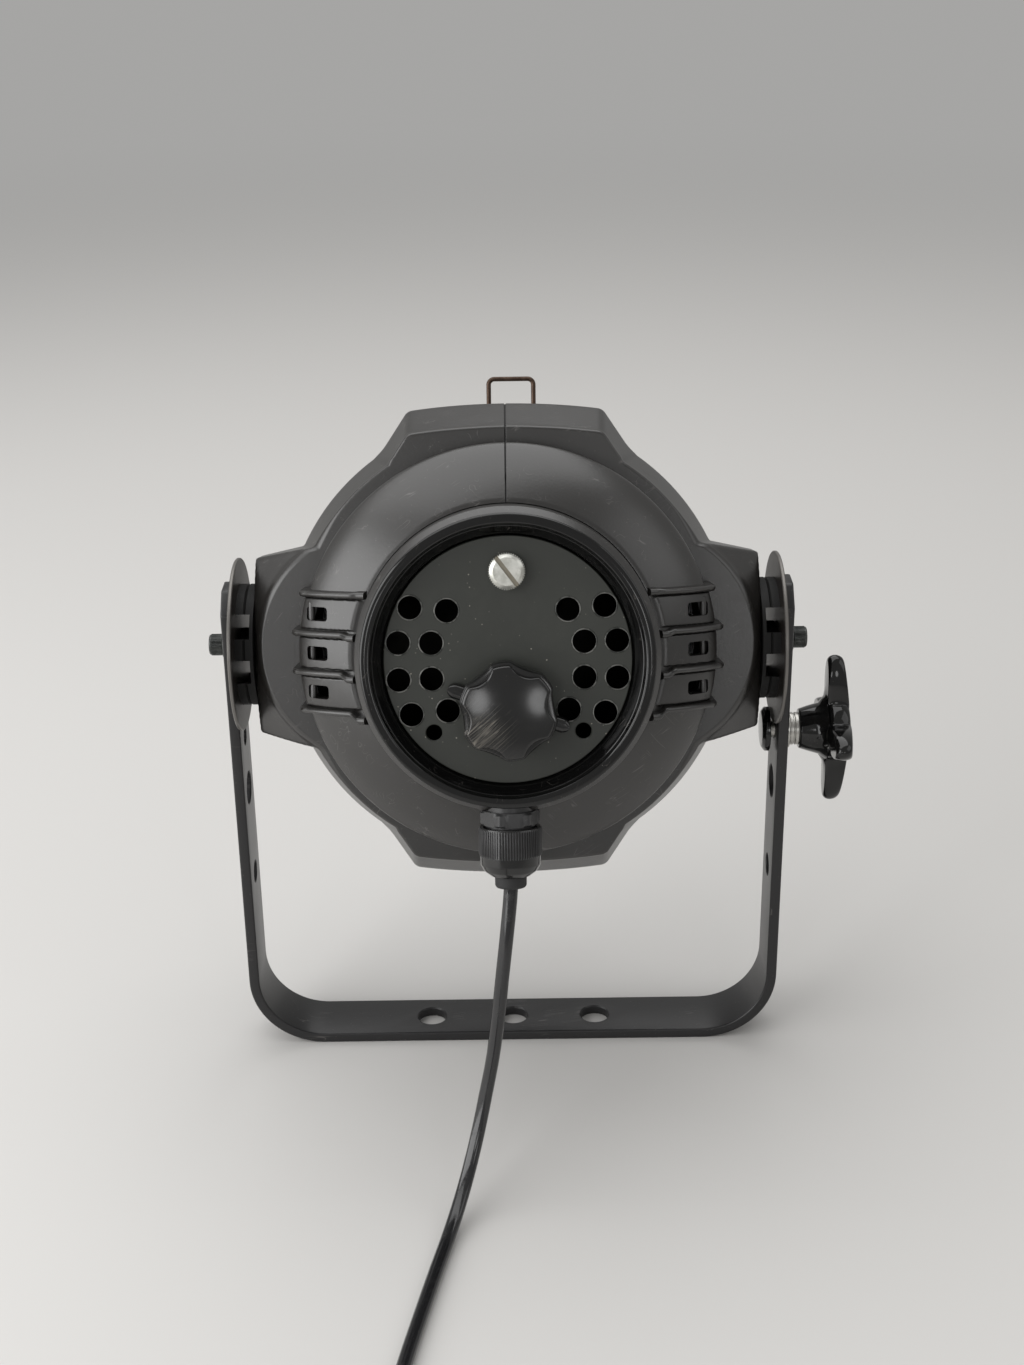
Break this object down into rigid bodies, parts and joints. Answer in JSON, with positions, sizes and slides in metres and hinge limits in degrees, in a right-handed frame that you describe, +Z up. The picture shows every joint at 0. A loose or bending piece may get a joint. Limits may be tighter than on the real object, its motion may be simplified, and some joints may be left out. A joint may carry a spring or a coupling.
{
  "type": "stage spotlight",
  "caption": "Round die-cast stage spotlight on a U-shaped yoke, with side pivots, friction clamp, rear vent tray with focus knob, cable gland and coiled mains lead.",
  "frame": {"origin": "centre of the yoke's middle base hole, on the underside of the strap that stands on the table", "axes": "+X to the right seen from behind the light, +Y from the rear cap towards the lens, +Z up"},
  "size_m": [0.3633, 0.4878, 0.3151],
  "materials": {
    "yoke": "satin black powder coat",
    "brass": "plain turned bush",
    "moulded_black": "glossy black moulding with fine scratches",
    "zinc_steel": "zinc-plated, lightly scratched",
    "disc_steel": "dark painted steel with a bright edge",
    "drum_plastic": "black moulding",
    "bolt_steel": "darkened steel",
    "casting": "die casting in fine satin dark grey paint",
    "gloss_ring": "casting in gloss black paint",
    "plate_paint": "satin dark grey-green paint",
    "bare_aluminium": "mill finish",
    "ceramic": "white ceramic",
    "lamp_glass": "clear quartz",
    "reflector": "polished",
    "seal_rubber": "matte",
    "lens_glass": "clear",
    "wire": "browned spring wire",
    "gland_plastic": "black nylon",
    "cable_sheath": "glossy black sheath",
    "cable_tie": "black nylon",
    "plug_plastic": "black moulding",
    "plug_brass": "nickel-plated pins"
  },
  "bodies": {
    "yoke": {"yoke": "yoke", "pivot_bush_left": "brass", "pivot_bush_right": "brass", "clamp_pad": "moulded_black", "power_cable": "cable_sheath", "cable_coil": "cable_sheath", "cable_tie": "cable_tie", "plug_body": "plug_plastic", "plug_pins": "plug_brass"},
    "clamp_washer": {"clamp_washer": "zinc_steel"},
    "clamp_handle": {"clamp_stud": "zinc_steel", "clamp_handle": "moulded_black"},
    "housing": {"tilt_disc_left": "disc_steel", "tilt_disc_right": "disc_steel", "spacer_drum_left": "drum_plastic", "spacer_drum_right": "drum_plastic", "pivot_bolt_left": "bolt_steel", "pivot_bolt_right": "bolt_steel", "housing_left": "casting", "housing_right": "casting", "housing_screws": "bolt_steel", "neck_ring": "casting", "rear_collar": "gloss_ring", "reflector": "reflector", "front_barrel": "casting", "lens_gasket": "seal_rubber", "lens": "lens_glass", "lens_ring": "plate_paint", "accessory_holder": "plate_paint", "gland_body": "gland_plastic", "gland_nut": "gland_plastic", "gland_seal": "seal_rubber"},
    "lamp_tray": {"vent_plate": "plate_paint", "guide_rods": "zinc_steel"},
    "thumb_screw": {"thumb_screw": "zinc_steel"},
    "locking_bar": {"locking_bar": "moulded_black"},
    "focus_knob": {"focus_knob": "moulded_black", "focus_spindle": "zinc_steel"},
    "lamp_carriage": {"lamp_carriage": "bare_aluminium", "lamp_socket": "ceramic", "lamp": "lamp_glass"},
    "retaining_clip": {"retaining_clip": "wire"}
  },
  "joints": [
    {"name": "tilt", "type": "hinge", "parent": "yoke", "child": "housing", "pos_m": [0, 0, 0.211], "axis": [1, 0, 0], "range_deg": [-60, 60], "deforming": ["power_cable"]},
    {"name": "clamp_advance", "type": "slide", "parent": "yoke", "child": "clamp_washer", "axis": [1, 0, 0], "range_m": [0, 0.00187]},
    {"name": "clamp_turn", "type": "hinge", "parent": "clamp_washer", "child": "clamp_handle", "pos_m": [0.13, 0, 0.164], "axis": [1, 0, 0], "range_deg": [0, 540]},
    {"name": "relamp_slide", "type": "slide", "parent": "housing", "child": "lamp_tray", "axis": [0, -0.9542, 0.299], "range_m": [0, 0.1]},
    {"name": "screw_turn", "type": "hinge", "parent": "lamp_tray", "child": "thumb_screw", "pos_m": [0, -0.06888, 0.27209], "axis": [0, -0.9542, 0.299], "range_deg": [0, 1080]},
    {"name": "bar_turn", "type": "hinge", "parent": "lamp_tray", "child": "locking_bar", "pos_m": [0, -0.08614, 0.21704], "axis": [0, -0.9542, 0.299], "range_deg": [0, 60]},
    {"name": "focus_turn", "type": "hinge", "parent": "lamp_tray", "child": "focus_knob", "pos_m": [0, -0.09663, 0.22032], "axis": [0, 0.9542, -0.299], "range_deg": [-1080, 1080]},
    {"name": "focus_travel", "type": "slide", "parent": "lamp_tray", "child": "lamp_carriage", "axis": [0, 0.9542, -0.299], "range_m": [-0.006, 0.006]},
    {"name": "clip_swing", "type": "hinge", "parent": "housing", "child": "retaining_clip", "pos_m": [0.003, 0.10875, 0.28182], "axis": [-1, 0, 0], "range_deg": [0, 90]}
  ],
  "couplings": [
    {"joint": "clamp_turn", "follows": "clamp_advance", "rad_per_m": 5026.5},
    {"joint": "focus_turn", "follows": "focus_travel", "rad_per_m": 3141.5}
  ]
}
